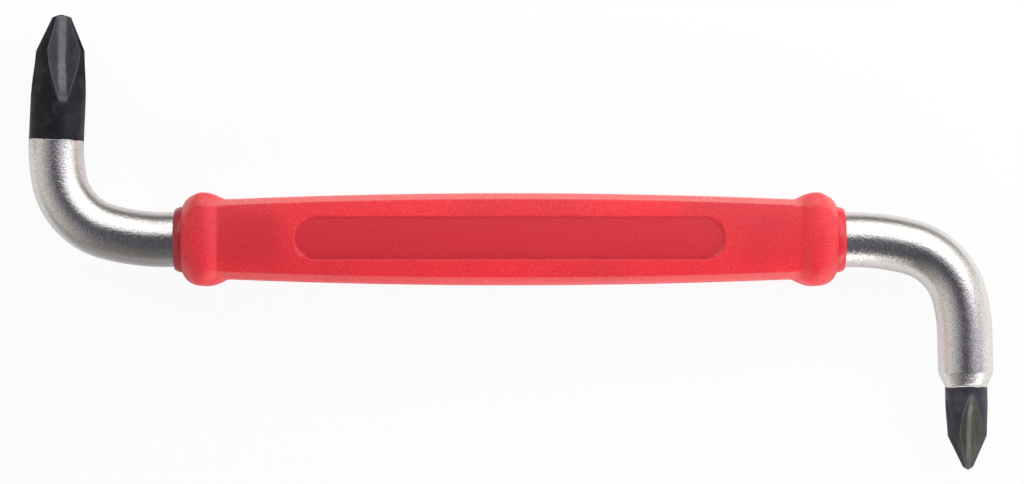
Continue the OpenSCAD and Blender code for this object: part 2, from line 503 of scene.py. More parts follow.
@dataclass(frozen=True)
class BlackedSteel(Finish):
    """Burnished black on the points, pale along the edges: worn bare, with a painted highlight.

    Attributes:
        rubbed_and_highlit: Colour of the edges, worn bare and painted with a highlight.
        flute_tint: Colour inside the flutes, strongest on their roots.
        flute_ground: Colour under that tint, or none to keep the point's own.
        haze: Colour of the slow, greyer patches.
        haze_at: Values of the slow noise between which they set in.
        haze_share: How far they take that colour.
        wear_and_highlight: How far the edges are worn and painted with a highlight.
        wear_and_highlight_scale: Patches of that to a metre.
        streak_scale: Drawn streaks in the flutes to a metre.
        streak_stretch: Share of that scale along Y, the way that the points lie.
        streak_range: Share of the tint that all streaks take, and how much the noise adds.
    """

    rubbed_and_highlit: Colour = srgb(138, 137, 139)
    flute_tint: Colour = srgb(112, 109, 116)
    flute_ground: Colour | None = None
    haze: Colour = srgb(62, 63, 70)
    haze_at: tuple[float, float] = (0.4, 0.75)
    haze_share: float = 0.5
    wear_and_highlight: float = 0.4
    wear_and_highlight_scale: float = 2600.0
    streak_scale: float = 4200.0
    streak_stretch: float = 0.12
    streak_range: tuple[float, float] = (0.3, 1.2)

    def build(self, effects: Effects) -> bpy.types.Material:
        """Make the black metal: tinted flutes with drawn streaks, worn edges with a painted highlight, and
        a fine grain.

        Args:
            effects: The shared shader groups.

        Returns:
            The material.
        """
        wires, shader, grain = self.start(effects)
        flute = wires.mark("flute")
        wear_and_highlight = wires.add("ShaderNodeGroup", node_tree=effects.wear_and_highlight)
        wires.put(wear_and_highlight, Amount=self.wear_and_highlight, Scale=self.wear_and_highlight_scale)
        place = wires.add("ShaderNodeTexCoord").outputs["Object"]
        drawn = wires.add("ShaderNodeMapping")
        wires.put(drawn, Vector=place, Scale=(1.0, self.streak_stretch, 1.0))
        marks = wires.noise(self.streak_scale, 2.0, Vector=drawn.outputs[0])
        least, more = self.streak_range
        streaks = wires.math("ADD", wires.math("MULTIPLY", marks.outputs[0], more), least)
        cloud = wires.ramp(grain.outputs["Patch"], *self.haze_at)
        cloud = wires.math("MULTIPLY", cloud, self.haze_share)
        dark = wires.mix(cloud, self.tone, self.haze)
        if self.flute_ground:
            hollow = wires.mark("hollow")
            dark = wires.mix(hollow, dark, self.flute_ground)
        dark = wires.mix(wires.math("MULTIPLY", flute, streaks), dark, self.flute_tint)
        # Pale edges: worn bare, with a painted highlight.
        wires.put(shader, Base_Color=wires.mix(wear_and_highlight.outputs["Mask"], dark, self.rubbed_and_highlit))
        wires.put(shader, Metallic=0.15, Specular_IOR_Level=0.3)
        return self.material


@dataclass(frozen=True)
class MouldedRed(Finish):
    """Red moulded plastic with a fine pebble.

    Attributes:
        hollow_shade_tone: Colour of the pebble's hollows: painted shade.
        top_glint_tone: Colour of the pebble's tops: painted glints.
        glint_from: Heights of the grain between which the tops begin.
        patch_tone: Colour of the slow patches.
        patch_at: Values of the slow noise between which they set in.
        sunk_and_shade_tone: Colour of the panel's floor, and of painted shade beside the panel and on the
            collar at the large end.
        rubbed_and_highlit: Colour of the long edges: a pale painted highlight.
        coat: Weight of the smooth skin.
        sheen: Weight of the pale sheen at grazing angles.
        pebble: Share of the hollows' painted shade and the tops' painted glints, halved in the panel.
        worn: Share of the pebble that is worn away in the panel and on the rubbed edges.
        wear_and_highlight: How far the edges take that painted highlight.
        wear_and_highlight_scale: Patches of it to a metre.
    """

    hollow_shade_tone: Colour = srgb(212, 18, 32)
    top_glint_tone: Colour = srgb(255, 120, 122)
    glint_from: tuple[float, float] = (0.5, 0.75)
    patch_tone: Colour = srgb(228, 48, 60)
    patch_at: tuple[float, float] = (0.3, 0.75)
    sunk_and_shade_tone: Colour = srgb(213, 44, 57)
    rubbed_and_highlit: Colour = srgb(243, 142, 136)
    coat: float = 0.0
    sheen: float = 0.06
    pebble: float = 0.28
    worn: float = 0.55
    wear_and_highlight: float = 0.9
    wear_and_highlight_scale: float = 3800.0

    def relief(self, wires: Wiring, height: bpy.types.NodeSocket) -> bpy.types.NodeSocket:
        """Height of the pebble, worn down in the sunk panel and along the rubbed edges.

        Args:
            wires: The material's wiring.
            height: The grain's height.

        Returns:
            The height that the bump takes.
        """
        sunk = wires.mark("sunk")
        edge = wires.mark("wear_and_highlight")
        flat = wires.math("MULTIPLY", wires.math("MAXIMUM", sunk, edge), -self.worn)
        return wires.math("MULTIPLY", height, wires.math("ADD", flat, 1.0))

    def build(self, effects: Effects) -> bpy.types.Material:
        """Make the plastic: mottled red with painted glints and shade in the pebble, duller in the sunk
        panel with painted shade beside it, and a painted pale highlight along the edges.

        Args:
            effects: The shared shader groups.

        Returns:
            The material.
        """
        wires, shader, grain = self.start(effects)
        sunk = wires.mark("sunk")
        wear_and_highlight = wires.add("ShaderNodeGroup", node_tree=effects.wear_and_highlight)
        wires.put(wear_and_highlight, Amount=self.wear_and_highlight, Scale=self.wear_and_highlight_scale)
        patch = wires.ramp(grain.outputs["Patch"], *self.patch_at)
        red = wires.mix(patch, self.tone, self.patch_tone)
        # The sunk mark carries the panel's floor and painted shade beside the panel and on the collar's
        # large end.
        red = wires.mix(sunk, red, self.sunk_and_shade_tone)
        # A pale painted highlight along the long edges.
        red = wires.mix(wear_and_highlight.outputs["Mask"], red, self.rubbed_and_highlit)
        # Painted shade in the pebble's hollows and painted glints on its tops.
        share = wires.math("MULTIPLY", wires.math("SUBTRACT", 2.0, sunk), self.pebble / 2.0)
        hollow = wires.math("MULTIPLY", wires.math("SUBTRACT", 1.0, grain.outputs["Speck"]), share)
        top = wires.ramp(grain.outputs["Height"], *self.glint_from)
        top = wires.math("MULTIPLY", top, share)
        red = wires.mix(top, wires.mix(hollow, red, self.hollow_shade_tone), self.top_glint_tone)
        wires.put(shader, Base_Color=red)
        wires.put(shader, Coat_Weight=self.coat, Coat_Roughness=0.12)
        wires.put(shader, Sheen_Weight=self.sheen, Sheen_Roughness=0.4)
        return self.material


@dataclass
class BarPath:
    """The middle line of the bar, from the middle of the grip out through each bend.

    Attributes:
        collar_end: Half of the length that sleeve and collars cover.
        bare: Straight bar that shows beyond a collar.
        lead: Radius and angle of the slow curve into a bend.
        tight: Radius of the middle of a bend.
        leave: Radius and angle of the slow curve out of a bend.
        step: Length between stations on the curves.
    """

    collar_end: float
    bare: float = 0.95
    lead: tuple[float, float] = (24.7, 15.0)
    tight: float = 7.4
    leave: tuple[float, float] = (19.3, 12.6)
    step: float = 0.25

    def half(self, whole: float, leg: Array) -> tuple[Array, Array]:
        """Walk from the grip's middle along +X and turn right through the bend.

        Each arc of radius r and angle a moves by r sin a ahead and r (1 - cos a)
        to the right, and turns the heading by a.

        Args:
            whole: Whole angle of the bend in degrees.
            leg: Lengths along the leg, from the end of the bend, to add as stations.

        Returns:
            Places in the plane of the bends and headings in radians, below +X.
        """
        straight = self.collar_end + self.bare
        count = int(straight / 0.5)
        run = np.linspace(0.0, straight, count, endpoint=False)
        places = [np.stack([run, np.zeros(count)], 1)]
        turns = [np.zeros(count)]
        here, heading = np.array([straight, 0.0]), 0.0
        arcs = [self.lead, (self.tight, whole - self.lead[1] - self.leave[1]), self.leave]
        for radius, degrees in arcs:
            angle = radians(degrees)
            turn = np.linspace(0.0, angle, max(6, int(radius * angle / self.step)) + 1)
            ahead, right = radius * np.sin(turn), radius * (1.0 - np.cos(turn))
            path = here + np.stack(
                [
                    ahead * cos(heading) - right * sin(heading),
                    -ahead * sin(heading) - right * cos(heading),
                ],
                axis=1,
            )
            # The last two stations make room for rows of the leg that start before the bend's end.
            places.append(path[:-2])
            turns.append(heading + turn[:-2])
            here, heading = path[-1], heading + angle
        out = np.array([cos(heading), -sin(heading)])
        places.append(here + np.outer(leg, out))
        turns.append(np.full(len(leg), heading))
        return np.concatenate(places), np.concatenate(turns)


@dataclass
class CrossPoint:
    """A cross point: a round blade, a cone and four flutes with V walls.

    Attributes:
        end: Which end of the bar it is on.
        blade: Diameter of the blade.
        length: Length from the blade's root to the nose.
        nose: Diameter of the blunt nose.
        core: Diameter across the flute roots at the nose.
        root: Width of the flat at the root of a flute.
        turn: Turn of the flutes about the leg, in degrees towards +X.
        nose_slope: Slope of the blunt cone on the nose.
        point_angle: Angle between opposite sides of the cone.
        flute_angle: Angle between the walls of a flute.
        flute_slope: Slope of a flute's root along the cone.
        wall_tint: Share of the flute's tint that reaches its walls.
        tint_spread: Where the tint starts to fall and where it has fallen to that share, in half
            widths of the root.
        left_tint: Share of that tint on one wall of a flute, towards -X in the upper flute; below 1 it
            leaves painted shade on that wall.
        left_spread: Where that share sets in and where it is reached, in the same measure.
        side_tint: Share of all marks in the flutes that face sideways.
        fade: Depth of a flute below which its tint fades.
        shallow_tint: Share of the tint where a flute has no depth.
        runout: Slope of the root where a flute runs out, and the radius between the slopes.
        edge: Rounding of the edges.
        rubbed_and_highlit: Widths over which the flutes' edges and the nose's rim are worn and painted
            with a highlight.
        rim_wear_and_highlight: Share of that mark on the rim.
        coat: How far the edge of the black coat turns in.
        nose_rows: Rows that close the nose, as shares of its rim's radius.
    """

    end: End
    blade: float
    length: float
    nose: float
    core: float
    root: float
    turn: float
    nose_slope: float
    point_angle: float = 53.0
    flute_angle: float = 92.0
    flute_slope: float = 5.75
    wall_tint: float = 0.32
    tint_spread: tuple[float, float] = (0.35, 1.5)
    left_tint: float = 1.0
    left_spread: tuple[float, float] = (0.6, 1.6)
    side_tint: float = 0.35
    fade: float = 0.9
    shallow_tint: float = 0.3
    runout: tuple[float, float] = (23.0, 8.0)
    edge: float = 0.05
    rubbed_and_highlit: tuple[float, float] = (0.12, 0.14)
    rim_wear_and_highlight: float = 0.8
    coat: float = 0.05
    nose_rows: tuple[float, ...] = (0.72, 0.4, 0.12)

    def __post_init__(self) -> None:
        """Find the nose and the leg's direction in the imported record."""
        self.tip, self.axis = packed_mount(f"{self.end.value}_point")
        self.side = np.array([abs(self.axis[1]), 0.0, 0.0])
        self.side[1] = -self.axis[0] * self.side[0] / self.axis[1]
        self.cap = self.nose / 2.0 * tan(radians(self.nose_slope))
        self.cone = (self.blade - self.nose) / 2.0 / tan(radians(self.point_angle / 2.0))

    def stations(self) -> Array:
        """Distances back from the nose's rim, close together at the rim, the shoulder and the run-out."""
        whole = self.length - self.cap
        pieces = [
            np.array([whole, whole, whole]),
            np.linspace(whole - 0.2, self.cone + 0.5, 80, endpoint=False),
            np.linspace(self.cone + 0.5, self.cone - 0.5, 24, endpoint=False),
            np.linspace(self.cone - 0.5, 0.25, 26, endpoint=False),
            np.linspace(0.25, 0.0, 8),
        ]
        return np.concatenate(pieces)

    def round_radius(self, back: Array) -> Array:
        """Radius of the blade and its cone: the lesser of the two, with a rounded shoulder."""
        cone = self.nose / 2.0 + back * tan(radians(self.point_angle / 2.0))
        return soft_min(np.full_like(back, self.blade / 2.0), cone, self.edge)

    def root_radius(self, back: Array) -> Array:
        """Distance from the axis to a flute's root: a slope, an arc from the shoulder, a steeper slope.

        Args:
            back: Distances back from the nose's rim.

        Returns:
            The root's distance at each.
        """
        slope, steep = radians(self.flute_slope), radians(self.runout[0])
        radius = self.runout[1]
        straight = self.core / 2.0 + back * tan(slope)
        foot = self.core / 2.0 + self.cone * tan(slope)
        centre_back = self.cone - radius * sin(slope)
        centre_up = foot + radius * cos(slope)
        arc_end = centre_back + radius * sin(steep)
        arc = centre_up - np.sqrt(np.clip(radius**2 - (back - centre_back) ** 2, 0.0, None))
        leave = centre_up - radius * cos(steep) + (back - arc_end) * tan(steep)
        return np.where(back <= self.cone, straight, np.where(back <= arc_end, arc, leave))

    def eighth(self, outer: Array, root: Array) -> Array:
        """Angles of the columns from a flute's middle to a wing's middle.

        The columns keep to the edge of the root flat and to the corner where a
        flute's wall meets the round, so that edges stay crisp.

        Args:
            outer: Radius of the round at each station.
            root: Distance of the flute's root at each station.

        Returns:
            Angles in radians, one row for each station.
        """
        half, wall = self.root / 2.0, radians(self.flute_angle / 2.0)
        flat = np.arctan2(half, root)
        reach = (half - root * tan(wall)) * cos(wall) / outer
        corner = wall + np.arcsin(np.clip(reach, -1.0, 1.0))
        corner = np.clip(corner, radians(9.0), radians(44.0))
        flat = np.minimum(flat, 0.6 * corner)
        ease = (1.0 - np.cos(np.linspace(0.0, pi, 9))) / 2.0
        spread = np.linspace(0.0, 1.0, 9) ** 1.3
        parts = [
            np.outer(flat, np.linspace(0.0, 1.0, 4)[:-1]),
            flat[:, None] + np.outer(corner - flat, ease[:-1]),
            corner[:, None] + np.outer(radians(45.0) - corner, spread),
        ]
        return np.concatenate(parts, axis=1)

    def flute_radius(self, angle: Array, root: Array) -> Array:
        """Distance from the axis to a flute's surface along each angle from its middle.

        On the flat it is the root's distance over cos(angle). On the wall it is
        where the ray meets the straight wall: (h - d t) / (sin - t cos), with h
        half the flat, d the root's distance and t the wall's slope.

        Args:
            angle: Angles from the flute's middle.
            root: Distance of the flute's root at each station.

        Returns:
            The distance for each angle.
        """
        half, slope = self.root / 2.0, tan(radians(self.flute_angle / 2.0))
        depth = root[:, None]
        on_flat = depth / np.cos(angle)
        lean = np.sin(angle) - slope * np.cos(angle)
        on_wall = (half - depth * slope) / np.minimum(lean, -1e-4)
        return np.where(np.tan(angle) * depth <= half, on_flat, np.maximum(on_wall, on_flat))

    @staticmethod
    def quarter(left: Array, right: Array) -> Array:
        """Join two eighths at their flute's middle, leaving out the doubled columns."""
        return np.concatenate([left[:, :0:-1], right[:, :-1]], axis=1)

    def marks(self, back: Array, outer: Array, root: Array, eighth: Array) -> dict[str, Array]:
        """Worn and highlighted edges, tint and hollow all round the point, for the finish to read.

        The edges' mark, worn metal with a painted highlight, is a bell curve across the flutes'
        edges and the nose's rim. The tint is full on a flute's root and falls off up the walls and
        where the flute gets shallow. The nose keeps half of the edges' mark and none of the rest.

        Args:
            back: Distances back from the nose's rim.
            outer: Radius of the round at each.
            root: Distance of the flute's root at each.
            eighth: Angles of the columns from a flute's middle to a wing's middle.

        Returns:
            The marks by name, on the grid of the whole point.
        """
        across_edge, across_rim = self.rubbed_and_highlit
        depth = outer[:, None] - self.flute_radius(eighth, root)
        rim = np.exp(-((back / across_rim) ** 2))[:, None]
        # The edges' mark: worn metal with a painted highlight.
        wear_and_highlight = np.maximum(np.exp(-((depth / across_edge) ** 2)), self.rim_wear_and_highlight * rim)
        hollow = smooth_step(depth, 0.0, across_edge)
        off_flat = np.tan(eighth) * root[:, None] / (self.root / 2.0)
        tint = hollow * (1.0 - (1.0 - self.wall_tint) * smooth_step(off_flat, *self.tint_spread))
        deep = smooth_step(outer - root, 0.0, self.fade)
        tint = tint * (self.shallow_tint + (1.0 - self.shallow_tint) * deep)[:, None]
        # Less tint on one wall of each flute: painted shade.
        left = tint * (1.0 - (1.0 - self.left_tint) * smooth_step(off_flat, *self.left_spread))
        faced = (1.0, self.side_tint, 1.0, self.side_tint)
        whole = {}
        for name, first, second, on_nose in (
            ("wear_and_highlight", wear_and_highlight, wear_and_highlight, 0.5),
            ("flute", left, tint, 0.0),
            ("hollow", hollow, hollow, 0.0),
        ):
            ring = np.concatenate([share * self.quarter(first, second) for share in faced], axis=1)
            nose = np.repeat(on_nose * ring[-1:], len(self.nose_rows), axis=0)
            whole[name] = np.concatenate([ring, nose])
        return whole

    def build(self, finish: bpy.types.Material) -> bpy.types.Object:
        """Make the point's mesh.

        The radius is the lesser of the round and the flutes, with a small
        rounding, and the nose closes as a blunt cone. The rows at the root
        follow the wavering edge of the coat.

        Args:
            finish: Its material.

        Returns:
            The piece.
        """
        back = self.stations()
        outer, root = self.round_radius(back), self.root_radius(back)
        eighth = self.eighth(outer, root)
        flute = self.flute_radius(eighth, root)
        radius = soft_min(np.broadcast_to(outer[:, None], flute.shape), flute, self.edge)
        turns = radians(self.turn) + np.arange(4) * pi / 2.0
        angle = np.concatenate([self.quarter(-eighth, eighth) + turn for turn in turns], axis=1)
        radius = np.tile(self.quarter(radius, radius), 4)
        along = np.repeat((self.length - self.cap - back)[:, None], radius.shape[1], axis=1)
        waver = coat_edge(np.sin(angle[:3]), np.cos(angle[:3]))
        along[:3] = np.array([0.0, 0.0, 0.04])[:, None] - waver
        radius[0] -= self.coat
        nose_radius = np.array(self.nose_rows)[:, None] * radius[-1]
        nose_along = self.length - nose_radius * tan(radians(self.nose_slope))
        angle = np.concatenate([angle, np.repeat(angle[-1:], len(nose_radius), axis=0)])
        along = np.concatenate([along, nose_along])
        radius = np.concatenate([radius, nose_radius])
        grid = self.tip + (along - self.length)[..., None] * self.axis
        grid = grid + (radius * np.sin(angle))[..., None] * self.side
        grid[..., 2] += radius * np.cos(angle)
        skin = Skin(grid, False, self.marks(back, outer, root, eighth))
        return skin.make(f"{self.end.value}_point", finish, Slot.STEEL, "bent_bar")


@dataclass
class BentBar:
    """The plated bar between its two points.

    Attributes:
        path: Its middle line.
        height: Height of the axis above the table.
        radius: Radius of the bar.
        bends: Whole angles of the bends at the large and the small end.
        stub: Full-width stub before the step of the small end.
        slope: Length of the sloped step, up to the black coat.
        taper: Share of that length that the cone takes.
        corners: Softness of the step's upper and lower corner.
        blade: Radius of the blade that the step leads to.
        bead: Height and half width of the bright bead at the edge of the black coat.
        dip: How far the bar's end dips under the coat.
        turning: Depth and spacing of the turning marks on the step.
        around: Columns around the bar.
    """

    path: BarPath
    height: float
    radius: float = 3.0
    bends: tuple[float, float] = (92.2, 88.9)
    stub: float = 4.05
    slope: float = 1.65
    taper: float = 0.9
    corners: tuple[float, float] = (0.05, 0.03)
    blade: float = 2.3
    bead: tuple[float, float] = (0.03, 0.035)
    dip: float = 0.08
    turning: tuple[float, float] = (0.0012, 0.15)
    around: int = 128

    def coat_rows(self) -> tuple[Array, Array]:
        """Rows at a coat's edge: a bead like a bell curve, then a dip under the coat.

        Returns:
            Places along the leg from the coat's edge, and the radius that each adds.
        """
        place = np.array([-0.2, -0.12, -0.085, -0.06, -0.035, -0.01, 0.0, 0.03, 0.1, 0.3])
        height, half = self.bead
        bell = height * np.exp(-(((place + half) / half) ** 2))
        return place, np.where(place <= 0.0, bell, -self.dip * smooth_step(place, -0.02, 0.1))

    def step(self, leg: Array) -> Array:
        """Radius along the small leg: the bar, a slope with crisp corners and turning marks, the blade."""
        fall = (self.radius - self.blade) / (self.taper * self.slope)
        cone = self.radius - (leg - self.stub) * fall
        inside = smooth_step(leg, self.stub + 0.1, self.stub + 0.2)
        foot = self.stub + self.taper * self.slope
        inside = inside * smooth_step(-leg, -foot, 0.1 - foot)
        depth, spacing = self.turning
        cone = cone + depth * inside * np.sin(2.0 * pi * leg / spacing)
        upper, lower = self.corners
        rounded = soft_min(np.full_like(leg, self.radius), cone, upper)
        return soft_max(rounded, np.full_like(leg, self.blade), lower)

    def build(self, finish: bpy.types.Material) -> bpy.types.Object:
        """Carry a circle along the middle line, with its radius falling over the step.

        The last rows at both ends follow the wavering edge of the black coat.

        Args:
            finish: Its material.

        Returns:
            The piece.
        """
        foot = self.stub + self.slope
        edge, lift = self.coat_rows()
        plain = np.concatenate(
            [
                np.linspace(0.0, self.stub - 0.2, 12, endpoint=False),
                np.linspace(self.stub - 0.2, self.stub + 0.2, 24, endpoint=False),
                np.linspace(self.stub + 0.2, foot - 0.38, 66),
            ]
        )
        large, large_turn = self.path.half(self.bends[0], edge)
        small, small_turn = self.path.half(self.bends[1], np.concatenate([plain, foot + edge]))
        places = np.concatenate([-large[:0:-1], small])
        turn = np.concatenate([large_turn[:0:-1], small_turn])
        rows, last = len(places), len(edge)
        radius = np.full(rows, self.radius)
        radius[:last] += lift[::-1]
        radius[-last:] = self.blade + lift
        radius[-last - len(plain):-last] = self.step(plain)
        outward = np.zeros(rows)
        outward[:last], outward[-last:] = -1.0, 1.0
        angle = np.linspace(0.0, 2.0 * pi, self.around, endpoint=False)
        ahead = np.stack([np.cos(turn), -np.sin(turn)], axis=1) * outward[:, None]
        sideways = np.stack([np.sin(turn), np.cos(turn)], axis=1)
        waver = coat_edge(np.cos(angle), np.sin(angle))
        grid = np.zeros((rows, self.around, 3))
        grid[..., :2] = places[:, None] + (radius[:, None] * np.cos(angle))[..., None] * sideways[:, None]
        grid[..., :2] -= waver[None, :, None] * ahead[:, None]
        grid[..., 2] = self.height + radius[:, None] * np.sin(angle)
        return Skin(grid, False, {}).make("plated_bar", finish, Slot.STEEL, "bent_bar")


@dataclass
class InnerSleeve:
    """The hard sleeve whose domed collars show at both ends of the grip.

    Attributes:
        height: Height of the axis above the table.
        bore: Radius of its bore.
        dome: Length of the rounded end.
        lip: Radius at the end of the dome.
        around: Columns around it.
    """

    height: float
    bore: float = 3.02
    dome: float = 0.85
    lip: float = 3.3
    around: int = 96

    def __post_init__(self) -> None:
        """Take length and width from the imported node."""
        low, high = packed_box("inner_sleeve")
        self.half = (high[0] - low[0]) / 2.0
        self.radius = (high[1] - low[1]) / 2.0

    def build(self, finish: bpy.types.Material) -> bpy.types.Object:
        """Turn a closed outline round the axis: bore, flat lips, domes and the long outside.

        The dome is an arc that leaves the outside level and meets the lip. The
        collar at the large end is marked for a darker colour: painted shade.

        Args:
            finish: Its material.

        Returns:
            The piece.
        """
        drop = self.radius - self.lip
        arc = (self.dome**2 + drop**2) / (2.0 * drop)
        ahead = np.linspace(0.0, self.dome, 18)
        dome = np.stack([self.half - self.dome + ahead, self.radius - arc + np.sqrt(arc**2 - ahead**2)], 1)
        lip = np.stack([np.full(4, self.half), np.linspace(self.lip, self.bore, 6)[1:-1]], 1)
        inner = np.stack([np.linspace(self.half, 0.0, 8), np.full(8, self.bore)], 1)
        side = np.concatenate([dome, lip, inner[:-1]])
        outline = np.concatenate([side, side[::-1] * np.array([-1.0, 1.0])])
        angle = np.linspace(0.0, 2.0 * pi, self.around, endpoint=False)
        grid = np.zeros((len(outline), self.around, 3))
        grid[..., 0] = outline[:, :1]
        grid[..., 1] = outline[:, 1:] * np.cos(angle)
        grid[..., 2] = self.height + outline[:, 1:] * np.sin(angle)
        # Painted shade on the collar at the large end.
        shaded_end = np.where(grid[..., 0] < 0.0, 1.0, 0.0)
        return Skin(grid, True, {"sunk": shaded_end}).make("collar_sleeve", finish, Slot.COLLAR, "inner_sleeve")


@dataclass
class Grip:
    """The moulded grip: a barrel with soft edges, rounded flanges and a sunk panel on each face.

    Attributes:
        height: Height of the axis above the table.
        bore: Radius of the hole for the sleeve.
        middle: Half height and half thickness at the middle.
        neck: Half height and half thickness at the necks.
        plateau: Level length on a flange's crest.
        rise: Radius of a flange's rounding towards the neck, in height and in thickness.
        fillet: Softness of the corner at its foot, likewise.
        end_radius: Radius of its rounding towards the end.
        shoulder: Power of the fuller rounding towards the end, where 2 is a circle.
        strip: Width of the rounded strip along the long edges, and what the flanges add to it.
        crown: How far the faces swell between their edges.
        panel: Length, width and depth of the sunk panel.
        panel_edge: Width over which the panel's wall falls.
        panel_waver: Heights of the slow and quick waves of its edge.
        ridge: Height and half width of the fine parting ridge along the sides.
        under: Share of the edges' mark on the -Y side, as a share of the others: less painted highlight
            there.
        rub_and_highlight_fade: Heights over the axis between which the edges' mark, painted highlight and
            worn pebble, fades down the sides.
        lean: Angle at which the strip leaves the face, on the barrel and on the flanges.
        fall: How far the strip reaches down the side, and how much more on the flanges.
        pull: Places of the strip's two inner control points, as shares of its width and its fall.
        flange_rub_and_highlight: Share of the edges' mark on the flanges.
        face_from: Heights over the axis between which a face begins.
        shade_at: Middle and half length of the painted shade on the stretches beside the panel.
        shade_across: Distances from a face's middle at which it starts to fade and is gone.
        shade_share: How dark it is at the large and at the small end.
    """

    height: float
    bore: float = 3.62
    middle: tuple[float, float] = (4.92, 4.8)
    neck: tuple[float, float] = (4.28, 4.2)
    plateau: float = 0.15
    rise: tuple[float, float] = (3.9, 2.0)
    fillet: tuple[float, float] = (0.12, 0.16)
    end_radius: float = 2.35
    shoulder: float = 2.3
    strip: tuple[float, float] = (0.72, 0.9)
    crown: float = 0.22
    panel: tuple[float, float, float] = (46.7, 4.75, 0.24)
    panel_edge: float = 0.18
    panel_waver: tuple[float, float] = (0.008, 0.006)
    ridge: tuple[float, float] = (0.03, 0.13)
    under: float = 0.4
    rub_and_highlight_fade: tuple[float, float] = (0.3, 2.4)
    lean: tuple[float, float] = (24.0, 8.0)
    fall: tuple[float, float] = (1.25, 0.5)
    pull: tuple[float, float] = (0.5, 0.42)
    flange_rub_and_highlight: float = 0.3
    face_from: tuple[float, float] = (2.6, 3.2)
    shade_at: tuple[float, float] = (28.2, 3.7)
    shade_across: tuple[float, float] = (1.6, 3.6)
    shade_share: tuple[float, float] = (0.95, 0.55)

    def __post_init__(self) -> None:
        """Take length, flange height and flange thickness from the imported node."""
        low, high = packed_box("grip")
        self.crest = ((high[1] - low[1]) / 2.0, (high[2] - low[2]) / 2.0)
        ahead, _ = self.end_round()
        self.crest_at = (high[0] - low[0]) / 2.0 - self.plateau - ahead[-1]
        self.neck_at = self.crest_at - 2.5

    def end_round(self) -> tuple[Array, Array]:
        """Rounding of a flange towards the end, down to the bore.

        It is a superellipse quarter: the powers of the two shares of the radius add up to 1.

        Returns:
            Distances beyond the plateau and the drop at each.
        """
        radius, power = self.end_radius, 2.0 / self.shoulder
        last = acos((1.0 - (self.crest[0] - self.bore) / radius) ** (1.0 / power))
        bow = np.linspace(0.0, last, 25)[1:]
        return radius * np.sin(bow) ** power, radius * (1.0 - np.cos(bow) ** power)

    def outline(self, along: Array, axis: int) -> Array:
        """Half size of the grip up to the flange's crest.

        A parabola falls from the middle to the neck. The flange rises from it as
        a circle about a point under its crest, and the two join in a soft fillet.

        Args:
            along: Distances from the middle, none beyond the crest.
            axis: 0 for the height, 1 for the thickness.

        Returns:
            The half size at each distance.
        """
        middle, neck, crest = self.middle[axis], self.neck[axis], self.crest[axis]
        barrel = middle - (middle - neck) * (along / self.neck_at) ** 2
        radius = self.rise[axis]
        inward = np.minimum(self.crest_at - along, 0.9 * radius)
        bead = crest - radius + np.sqrt(radius**2 - inward**2)
        return soft_max(barrel, bead, self.fillet[axis])

    def stations(self) -> tuple[Array, Array, Array, Array]:
        """Stations of the outside from the middle to the hole in the end.

        Beyond the crest the flange is a full quarter round that ends on the bore.

        Returns:
            Places along the grip, half heights, half thicknesses, and the share
            by which the section has turned into an ellipse.
        """
        panel_end = self.panel[0] / 2.0
        along = np.concatenate(
            [
                np.linspace(0.0, panel_end - 2.6, 50, endpoint=False),
                np.linspace(panel_end - 2.6, panel_end + 0.3, 76, endpoint=False),
                np.linspace(panel_end + 0.3, self.neck_at - 1.2, 24, endpoint=False),
                np.linspace(self.neck_at - 1.2, self.crest_at, 46),
            ]
        )
        sizes = [self.outline(along, axis) for axis in (0, 1)]
        ahead, drop = self.end_round()
        sizes = [np.concatenate([s, s[-1] - drop]) for s in sizes]
        share = np.concatenate([np.zeros(len(along)), smooth_step(ahead, 0.0, ahead[-1])])
        ahead = ahead + self.crest_at + self.plateau
        return np.concatenate([along, ahead]), sizes[0], sizes[1], share

    def quarter(self, tall: Array, thick: Array, soft: Array) -> tuple[Array, Array]:
        """A quarter of the section, from the middle of the face to the middle of the side.

        The face is a shallow parabola up to the strip. The strip is a cubic curve
        that leaves the face at an angle, so that a faint crease shows, and meets the
        side upright. The side swells a little to the parting ridge.

        Args:
            tall: Half heights.
            thick: Half thicknesses.
            soft: Share by which the flange softens the strip.

        Returns:
            Points across the section for each station, as height and thickness,
            and how far each takes the edges' mark, a painted highlight with the pebble worn flatter: fully
            on the strip, fading down the side.
        """
        tall, thick, soft = tall[:, None], thick[:, None], soft[:, None]
        strip = self.strip[0] + self.strip[1] * soft
        edge = tall - strip
        near = self.panel[1] / 2.0 - 0.4
        far = self.panel[1] / 2.0 + 0.3
        inner = np.concatenate(
            [np.linspace(0.0, near, 7, endpoint=False), np.linspace(near, far, 19)]
        )[None]
        inner = np.repeat(inner, len(tall), axis=0)
        inner = inner * np.minimum(1.0, 0.9 * edge / far)
        outer = inner[:, -1:] + (edge - inner[:, -1:]) * np.linspace(0.0, 1.0, 8)[None, 1:]
        across = np.concatenate([inner, outer], axis=1)
        face = np.stack([across, thick - self.crown * (across / edge) ** 2], axis=2)
        t = np.linspace(0.0, 1.0, 12)[None, 1:]
        lean = np.radians(self.lean[0] - (self.lean[0] - self.lean[1]) * soft)
        start = thick - self.crown
        fall = np.minimum(self.fall[0] + self.fall[1] * soft, 0.6 * start)
        reach = self.pull[0] * strip
        bend = [
            (edge, start),
            (edge + reach * np.cos(lean), start - reach * np.sin(lean)),
            (tall, start - self.pull[1] * fall),
            (tall, start - fall),
        ]
        weights = [(1 - t) ** 3, 3 * t * (1 - t) ** 2, 3 * t**2 * (1 - t), t**3]
        curve = np.stack(
            [sum(w * p[k] for w, p in zip(weights, bend)) for k in (0, 1)], axis=2
        )
        down = (start - fall) * np.linspace(1.0, 0.0, 10)[None, 1:] ** 1.5
        swell = self.ridge[0] * np.exp(-((down / self.ridge[1]) ** 2))
        side = np.stack([tall + swell, down], axis=2)
